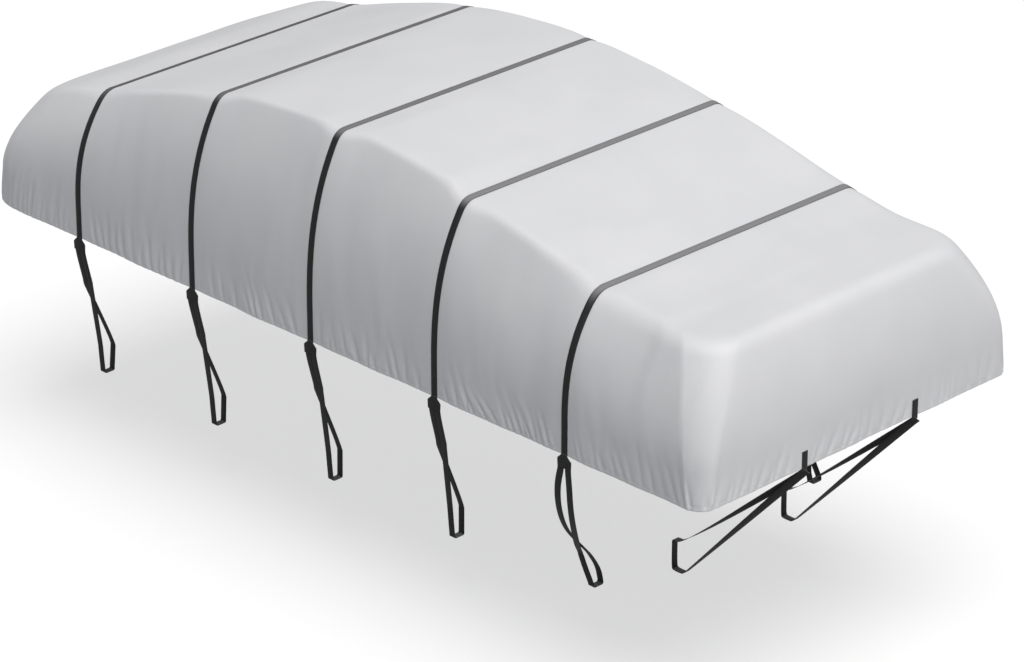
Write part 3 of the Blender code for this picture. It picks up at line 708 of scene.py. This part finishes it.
def sweep(name, centre, across, half):
    """Webbing along a line; across and half are its side's direction and half its width, at each
    point or everywhere."""
    centre = np.asarray(centre, float)
    count, size = len(centre), len(SECTION)
    run = unit(np.gradient(centre, axis=0))
    across = np.broadcast_to(np.asarray(across, float), centre.shape)
    across = unit(across - run * (across * run).sum(axis=1, keepdims=True))
    normal = np.cross(run, across)
    half = np.broadcast_to(np.asarray(half, float), (count,))
    rings, us = [], []
    for a, n, cut_a, cut_n in SECTION:
        width = half - SECTION_CUT * cut_a
        lift = n * (WEB / 2 - SECTION_CUT * cut_n)
        rings.append(centre + across * (a * width)[:, None] + normal * lift)
        us.append(a * width)
    verts = np.stack(rings, axis=1).reshape(-1, 3)
    length = np.repeat(run_length(centre)[:, None], size, axis=1)
    uv = np.stack([np.stack(us, axis=1), length], axis=-1).reshape(-1, 2)
    faces = []
    for k in range(count - 1):
        for m in range(size):
            a, b = k * size + m, k * size + (m + 1) % size
            faces.append((a, b, b + size, a + size))
    faces.append(tuple(range(size))[::-1])
    faces.append(tuple((count - 1) * size + m for m in range(size)))
    return new_mesh(name, verts, faces, uv, SHARP_ANGLE)


def strap_edge(x):
    """The cloth's line at x from the starboard hem to the port hem."""
    rows = [("upright", 0.0)]
    rows += [(kind, k / steps) for kind, steps in STRAP_ROWS for k in range(1, steps + 1)]
    up = np.stack([side_line(x, -1, row) for row in rows])
    down = np.stack([side_line(x, 1, row) for row in rows])[::-1]
    over = mix(up[-1], down[0], np.arange(1, STRAP_TOP_STEPS)[:, None] / STRAP_TOP_STEPS)
    return np.concatenate([up, over, down])


def make_strap(index):
    """A strap over the top, with both its ends hanging straight below the hem."""
    x = STRAP_X[index - 1]
    half = WEB_WIDTH / 2
    left, right = strap_edge(x - half), strap_edge(x + half)
    centre = (left + right) / 2
    across = unit(right - left)
    normal = unit(np.cross(across, unit(np.gradient(centre, axis=0))))
    outward = (centre - np.array([0, 0, INSIDE_Z])) * np.array([0, 1, 1])
    normal *= np.sign((normal * outward).sum(axis=1, keepdims=True))
    centre = centre + normal * (STRAP_LIFT + WEB / 2)
    drop = np.linspace(STRAP_END_Z, TAIL_TOP, TAIL_POINTS)
    tails = [np.array([(x, side * STRAP_END_Y, z) for z in drop]) for side in (-1, 1)]
    level = np.tile(ALONG_BOAT, (TAIL_POINTS, 1))
    centre = np.concatenate([tails[0], centre[1:-1], tails[1][::-1]])
    return sweep(f"strap_web_{index}", centre, np.concatenate([level, across[1:-1], level]), half)


LAYER = WEB + 0.0003     # from one layer of sewn webbing to the next
# Sewn patch over the fork: height above the hem and half its width.
PATCH_ROWS = ((0.004, 0.0222), (-0.004, 0.0236), (-0.026, 0.0478), (-0.034, 0.0510), (-0.080, 0.0480))
FORK_TOP = HEM_Z - 0.030     # the branches' sewn ends reach up to here behind the patch
FORK_FREE = HEM_Z - 0.050    # and are flat down to here
FORK_SPREAD = 0.0226     # from the strap's centre line to each branch's, on a tight loop
FORK_SWAY = (0.016, 0.023)      # how far the aft and the fore branch lean to the bow below the hem
SWAY_SHARE = 0.42        # share of the drop over which they do
FORK_EASE = 1.5          # power of their way to the rail, so that they stay apart at first
FLOAT_POINTS = 14        # of a branch on the float's round
FOOT_BEND = 0.020        # size of a loop's turns round the rail
CUT = 0.25               # share of each piece of a line that one cut takes off


def corner_cut(points, times=2):
    """Rounds the corners of a line."""
    points = np.asarray(points, float)
    for _ in range(times):
        a = points[:-1] * (1 - CUT) + points[1:] * CUT
        b = points[:-1] * CUT + points[1:] * (1 - CUT)
        points = np.concatenate([points[:1], np.stack([a, b], axis=1).reshape(-1, 3)[1:-1], points[-1:]])
    return points


def resample(points):
    """The same line with points about WEB_STEP apart."""
    length = run_length(points)
    count = max(2, int(length[-1] / WEB_STEP) + 1)
    at = np.linspace(0, length[-1], count)
    return np.stack([np.interp(at, length, points[:, k]) for k in range(3)], axis=1)


def tangent_angle(point, radius):
    """Where a line from a point of the side's section touches the float's round."""
    dy = point[0] + FLOAT_Y
    dz = point[1] - FLOAT_Z
    swing = math.acos(min(1.0, radius / math.hypot(dy, dz)))
    facing = math.atan2(dz, dy)
    return min(((facing + s * swing) % (2 * math.pi) for s in (-1, 1)), key=math.cos)


def branch_line(top, rail, radius):
    """A tight branch in the side's section, round the float where it has to go round it."""
    first = tangent_angle(top, radius)
    last = tangent_angle(rail, radius)
    points = [top]
    if last > first:
        for angle in np.linspace(first, last, FLOAT_POINTS):
            points.append((-FLOAT_Y + radius * math.cos(angle), FLOAT_Z + radius * math.sin(angle)))
    points.append(rail)
    return points


def tight_lines(row, start):
    """The aft and the fore branch of a loop that is pulled over the float."""
    _, rail_y, fore_x, _, aft_x, bow_out = row
    radius = FLOAT_RADIUS + CLEAR
    lines = []
    for rail_at, reach, first_x, last_x, bow, sway in (
        (RAIL_WIDTH + CLEAR - rail_y, radius, -FORK_SPREAD, aft_x, bow_out, FORK_SWAY[0]),
        (-rail_y - CLEAR, radius + BRANCH_STEP, FORK_SPREAD, fore_x, 0.0, FORK_SWAY[1]),
    ):
        line = []
        for y, z in branch_line(start, (rail_at, RAIL_TOP), reach):
            share = min(1.0, (start[1] - z) / (start[1] - RAIL_TOP))
            x = mix(first_x, last_x, share**FORK_EASE) - bow * math.sin(math.pi * share)
            x += sway * math.sin(math.pi * min(1.0, share / SWAY_SHARE))
            line.append((x, y, z))
        lines.append(np.array(line))
    return lines


def slack_lines(start):
    """The aft and the fore branch of the loop that hangs slack."""
    aft = [(-BRANCH_OFFSET, *start)]
    fore = [(BRANCH_OFFSET, *start)]
    for share, fore_y, fore_x, aft_y, aft_x in SLACK_LINES:
        z = mix(start[1], RAIL_TOP, share)
        aft.append((aft_x, -aft_y, z))
        fore.append((fore_x, -fore_y, z))
    return [corner_cut(aft), corner_cut(fore)]


def make_fork_patch(index, side):
    """The sewn piece outside the strap's end and both branches."""
    sign = -1 if side == "s" else 1
    y = sign * (STRAP_END_Y + LAYER)
    line = [(STRAP_X[index - 1], y, HEM_Z + up) for up, _ in PATCH_ROWS]
    return sweep(f"fork_patch_{side}{index}", line, ALONG_BOAT, [half for _, half in PATCH_ROWS])


def make_side_loop(row, side):
    """The band round the rail, both ends sewn to the strap's end."""
    index, rail_y, fore_x, foot_x, aft_x, _ = row
    start = (-STRAP_END_Y, STRAP_END_Z - FORK_DROP)
    aft, fore = slack_lines(start) if index == SLACK_STRAP else tight_lines(row, start)
    foot_z = RAIL_BOTTOM - CLEAR
    inner_y = RAIL_WIDTH + CLEAR - rail_y
    outer_y = -rail_y - CLEAR
    middle = (RAIL_TOP + RAIL_BOTTOM) / 2
    foot = corner_cut([
        aft[-1],
        ((aft_x + foot_x) / 2, inner_y, middle),
        (foot_x, inner_y, foot_z + FOOT_BEND),
        (foot_x, inner_y, foot_z),
        (foot_x, inner_y - FOOT_BEND, foot_z),
        (foot_x, outer_y + FOOT_BEND, foot_z),
        (foot_x, outer_y, foot_z),
        (foot_x, outer_y, foot_z + FOOT_BEND),
        ((fore_x + foot_x) / 2, outer_y, middle),
        fore[-1],
    ], times=3)
    ends = []
    for line, layer in ((aft, 2), (fore, 1)):
        first_x = line[0][0]
        y = -STRAP_END_Y + layer * LAYER
        ends.append(np.array([(first_x, y, FORK_TOP), (first_x, y, FORK_FREE)]))
    path = np.concatenate([ends[0], aft, foot[1:-1], fore[::-1], ends[1][::-1]])
    path = resample(corner_cut(path))
    path[:, 0] += STRAP_X[index - 1]
    if side == "p":
        path[:, 1] *= -1
    return sweep(f"loop_web_{side}{index}", path, ALONG_BOAT, WEB_WIDTH / 2)


TAB_TAIL = -0.020        # the tab's end, above the hem
TAB_POINTS = 16
EAR_DROP = 0.024         # from the hem down to where the loop's ends leave the tab
EAR_REACH = 0.016        # how far they are sewn on above that
EAR_FREE = 0.050         # and how far they hang straight below it
EAR_TURN = math.radians(60)     # how far the webbing is turned there
EAR_APART = 0.55         # from the loop's middle to each of its layers, in layers


def bow_face_x(y, up):
    """The bow face's x at y and a height above the hem."""
    row = ("upright", min(max(up, 0.0) / SIDE_UPRIGHT, 1.0))
    _, radius = end_size(1, row)
    side = np.array(-1 if y < 0 else 1)
    return float(end_line(1, side, abs(y) / (HALF_BEAM - radius), np.array(0.0), row)[0])


def make_bow_tab(side, y):
    """The tab on the bow face."""
    heights = np.linspace(TAB_TAIL, TAB_TOP, TAB_POINTS)
    line = [(bow_face_x(y, h) + TAB_GAP + WEB / 2, y, HEM_Z + h) for h in heights]
    return sweep(f"bow_tab_web_{side}", line, ACROSS_BOAT, WEB_WIDTH / 2)


def make_bow_loop(side, y):
    """Two layers from their sewn ends at the tab round the trailer's rail, level where they lie."""
    x = bow_face_x(y, 0.0) + TAB_GAP + WEB
    run = unit(np.array([BOW_RAIL_X - x, 0, (RAIL_TOP + RAIL_BOTTOM) / 2 - HEM_Z + EAR_DROP]))
    level = -np.array(ACROSS_BOAT)
    turned = level * math.cos(EAR_TURN) + np.cross(run, level) * math.sin(EAR_TURN)
    apart = np.cross(run, turned) * LAYER * EAR_APART
    foot_z = RAIL_BOTTOM - CLEAR
    back_x = BOW_RAIL_X - BOW_RAIL_DEPTH
    place = np.array([x, y, HEM_Z - EAR_DROP])
    sewn = place - run * EAR_REACH
    free = place + run * EAR_FREE
    outline = [(BOW_RAIL_X - BOW_BEND, y, RAIL_TOP + CLEAR), (back_x, y, RAIL_TOP + CLEAR),
               (back_x - CLEAR, y, RAIL_TOP - BOW_BEND), (back_x - CLEAR, y, foot_z + BOW_BEND),
               (back_x + BOW_BEND, y, foot_z), (BOW_RAIL_X - BOW_BEND, y, foot_z),
               (BOW_RAIL_X + BOW_BEND / 2, y, foot_z + BOW_BEND)]
    path = [sewn + apart, free + apart] + outline + [free - apart, sewn - apart]
    path = resample(corner_cut(path, times=3))
    share = np.clip((free[0] - path[:, 0]) / (free[0] - BOW_RAIL_X), 0, 1)[:, None]
    return sweep(f"bow_loop_web_{side}", path, mix(turned, level, share), WEB_WIDTH / 2)


# -------------------------------- materials
# Cloth: a cloudy pattern with fine specks runs between two greys, from one level to the other.
CLOTH_GREYS = ((0.45, (0.560, 0.567, 0.585)), (1.0, (0.600, 0.605, 0.622)))
# its clouds, specks and crumples
CLOTH_NOISES = ({"Scale": 2.2, "Detail": 3.0}, {"Scale": 420.0, "Detail": 2.0},
                {"Scale": 26.0, "Detail": 4.0, "Roughness": 0.55})
CLOTH_THREADS = {"Scale": 180.0, "Distortion": 0.4, "Detail": 1.0}
SPECK_SHARE = 0.5
# Webbing: dark, with a painted sheen that makes it lighter grey where it faces up, more so towards the
# bow.
WEB_DARK = (0.012, 0.012, 0.013)
WEB_PAINTED_SHEEN = (0.20, 0.20, 0.205)
PAINTED_SHEEN_FACING = (0.55, 0.97)     # upward part of the normal at which the painted sheen starts, and where it is full
PAINTED_SHEEN_ALONG = ((-2.2, 0.35), (1.2, 1.0))   # x and share of the painted sheen there


def feed(socket, value):
    """Links an input to an output, or sets its value."""
    if isinstance(value, bpy.types.NodeSocket):
        socket.id_data.links.new(value, socket)
    else:
        socket.default_value = value


def set_inputs(item, **inputs):
    """Feeds a node's inputs by name, with _ for a space."""
    for name, value in inputs.items():
        feed(item.inputs[name.replace("_", " ")], value)
    return item


def new_node(tree, kind, **inputs):
    return set_inputs(tree.nodes.new(kind), **inputs)


def new_material(name, **looks):
    """A material with its tree and its shader."""
    made = bpy.data.materials.new(name)
    made.use_nodes = True
    return made, made.node_tree, set_inputs(made.node_tree.nodes["Principled BSDF"], **looks)


def flat_place(tree):
    """The flat coordinates that new_mesh gives."""
    made = new_node(tree, "ShaderNodeUVMap")
    made.uv_map = UV_NAME
    return made.outputs["UV"]


def thread_waves(tree, flat, bands, **inputs):
    """Height of threads that run one way."""
    made = new_node(tree, "ShaderNodeTexWave", Vector=flat, **inputs)
    made.bands_direction = bands
    return made.outputs["Fac"]


def maths(tree, operation, *terms):
    """The result of an operation on two terms, each an output or a number."""
    made = new_node(tree, "ShaderNodeMath")
    made.operation = operation
    for socket, term in zip(made.inputs, terms):
        feed(socket, term)
    return made.outputs[0]


def bump(tree, **inputs):
    return new_node(tree, "ShaderNodeBump", **inputs).outputs["Normal"]


def cloth_material():
    made, tree, shader = new_material(
        "cloth_weave", Roughness=0.45, Sheen_Weight=0.08, Sheen_Roughness=0.5, Specular_IOR_Level=0.42)
    place = new_node(tree, "ShaderNodeTexCoord").outputs["Object"]
    cloudy, specks, crumple = (new_node(tree, "ShaderNodeTexNoise", Vector=place, **look).outputs["Fac"]
                               for look in CLOTH_NOISES)
    ramp = new_node(tree, "ShaderNodeValToRGB",
                    Fac=maths(tree, "ADD", cloudy, maths(tree, "MULTIPLY", specks, SPECK_SHARE)))
    for stop, (level, grey) in zip(ramp.color_ramp.elements, CLOTH_GREYS):
        stop.position = level
        stop.color = (*grey, 1)
    flat = flat_place(tree)
    weave = maths(tree, "MAXIMUM", *(thread_waves(tree, flat, bands, **CLOTH_THREADS) for bands in "XY"))
    weave_normal = bump(tree, Height=weave, Strength=0.15, Distance=0.0005)
    set_inputs(shader, Base_Color=ramp.outputs["Color"],
               Normal=bump(tree, Height=crumple, Normal=weave_normal, Strength=0.12, Distance=0.004))
    return made


def web_material():
    made, tree, shader = new_material(
        "webbing_weave", Roughness=0.60, Specular_IOR_Level=0.35, Sheen_Weight=0.04, Sheen_Roughness=0.4)
    geometry = new_node(tree, "ShaderNodeNewGeometry").outputs
    normal = new_node(tree, "ShaderNodeSeparateXYZ", Vector=geometry["Normal"])
    place = new_node(tree, "ShaderNodeSeparateXYZ", Vector=geometry["Position"])
    # Painted sheen: the colour is mixed towards a lighter grey where the webbing faces up, more so
    # towards the bow.
    facing = new_node(tree, "ShaderNodeMapRange", Value=normal.outputs["Z"], From_Min=PAINTED_SHEEN_FACING[0],
                      From_Max=PAINTED_SHEEN_FACING[1])
    facing.interpolation_type = "SMOOTHSTEP"
    (aft_x, aft_share), (fore_x, fore_share) = PAINTED_SHEEN_ALONG
    along = new_node(tree, "ShaderNodeMapRange", Value=place.outputs["X"], From_Min=aft_x,
                     From_Max=fore_x, To_Min=aft_share, To_Max=fore_share)
    painted_sheen = maths(tree, "MULTIPLY", facing.outputs["Result"], along.outputs["Result"])
    blend = new_node(tree, "ShaderNodeMix")
    blend.data_type = "RGBA"
    set_inputs(blend, Factor=painted_sheen, A=(*WEB_DARK, 1), B=(*WEB_PAINTED_SHEEN, 1))
    flat = flat_place(tree)
    ribs = thread_waves(tree, flat, "Y", Scale=160.0, Distortion=0.6)
    cords = thread_waves(tree, flat, "X", Scale=110.0)
    set_inputs(shader, Base_Color=blend.outputs["Result"],
               Normal=bump(tree, Height=maths(tree, "ADD", ribs, cords), Strength=0.5, Distance=0.0006))
    return made


def studio_material(name, base, glow):
    """A matt paint that also glows."""
    return new_material(name, Base_Color=(base, base, base, 1), Emission_Color=(1, 1, 1, 1),
                        Emission_Strength=glow, Roughness=1.0, Specular_IOR_Level=0.0)[0]


# -------------------------------- pieces
def dress(obj, material, slot, *nodes):
    """Gives a piece its material and hides the nodes that it replaces; slot is not used."""
    obj.data.materials.append(material)
    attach(obj, "root")
    if nodes:
        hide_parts(*nodes)
    return obj


cloth = cloth_material()
webbing = web_material()
cover = dress(make_cover(), cloth, "cloth", "cover")
for strap_index in range(1, len(STRAP_X) + 1):
    dress(make_strap(strap_index), webbing, "webbing", f"strap_{strap_index}")
for loop_row in LOOPS:
    for loop_side in ("s", "p"):
        dress(make_side_loop(loop_row, loop_side), webbing, "webbing", f"loop_{loop_side}{loop_row[0]}")
        dress(make_fork_patch(loop_row[0], loop_side), webbing, "webbing")
for tab_side, tab_y in TABS:
    dress(make_bow_tab(tab_side, tab_y), webbing, "webbing", f"bow_tab_{tab_side}")
    dress(make_bow_loop(tab_side, tab_y), webbing, "webbing", f"bow_loop_{tab_side}")

# -------------------------------- floor, light, camera
FLOOR_Z = -2.52          # level of the trailer's wheels
STAGE_REACH = 60.0
BACKDROP_HEIGHT = 50.0
BACKDROP_SIDES = 64
# base and glow
FLOOR_PAINT = (0.35, 0.60)
BACKDROP_PAINT = (0.0, 1.0)
SUN_COLOUR = (1.0, 0.985, 0.97)
# direction to the light, strength, spread in degrees
SUNS = {
    "bow_high": ((0.25, 0.0, 0.97), 2.95, 50),
    "bow_low": ((0.97, 0.0, -0.24), 0.78, 40),
    "front": ((0.62, -0.78, -0.05), 0.28, 10),
}
WORLD_COLOUR = (0.985, 0.997, 1.025)
WORLD_STRENGTH = 0.352
LENS = 169.793
SENSOR = 36.0
CLIP = (0.5, 300.0)
CAMERA_PLACE = (18.009, -17.468, 10.214)
CAMERA_FORWARD = (-0.643956, 0.636841, -0.423973)


def make_stage(name, verts, faces, material):
    """A pale surface that the camera sees and that sends no light to the object."""
    mesh = bpy.data.meshes.new(name)
    mesh.from_pydata(verts, [], faces)
    mesh.materials.append(material)
    made = bpy.data.objects.new(name, mesh)
    bpy.context.scene.collection.objects.link(made)
    made.visible_diffuse = False
    made.visible_glossy = False
    made.visible_shadow = False


turns = [2 * math.pi * k / BACKDROP_SIDES for k in range(BACKDROP_SIDES)]
ring = [(STAGE_REACH * math.cos(turn), STAGE_REACH * math.sin(turn)) for turn in turns]
make_stage("floor", [(x, y, FLOOR_Z) for x, y in ring], [tuple(range(BACKDROP_SIDES))],
           studio_material("floor_paint", *FLOOR_PAINT))
make_stage(
    "backdrop", [(x, y, z) for z in (FLOOR_Z, FLOOR_Z + BACKDROP_HEIGHT) for x, y in ring],
    [(k, (k + 1) % BACKDROP_SIDES, (k + 1) % BACKDROP_SIDES + BACKDROP_SIDES, k + BACKDROP_SIDES)
     for k in range(BACKDROP_SIDES)], studio_material("backdrop_paint", *BACKDROP_PAINT))


def place_object(name, data, pointing, axis):
    """Adds a light or camera whose axis points along a direction."""
    made = bpy.data.objects.new(name, data)
    made.rotation_mode = "QUATERNION"
    made.rotation_quaternion = Vector(pointing).to_track_quat(axis, "Y")
    bpy.context.scene.collection.objects.link(made)
    return made


for sun_name, (toward, strength, spread) in SUNS.items():
    sun = bpy.data.lights.new(sun_name, "SUN")
    sun.energy = strength
    sun.angle = math.radians(spread)
    sun.color = SUN_COLOUR
    place_object(sun_name, sun, toward, "Z")
world = bpy.data.worlds.new("studio")
world.use_nodes = True
set_inputs(world.node_tree.nodes["Background"], Color=(*WORLD_COLOUR, 1), Strength=WORLD_STRENGTH)
bpy.context.scene.world = world
bpy.context.scene.view_settings.view_transform = "Standard"

camera_data = bpy.data.cameras.new("camera")
camera_data.lens = LENS
camera_data.sensor_width = SENSOR
camera_data.clip_start, camera_data.clip_end = CLIP
camera = place_object("camera", camera_data, CAMERA_FORWARD, "-Z")
camera.location = CAMERA_PLACE
bpy.context.scene.camera = camera
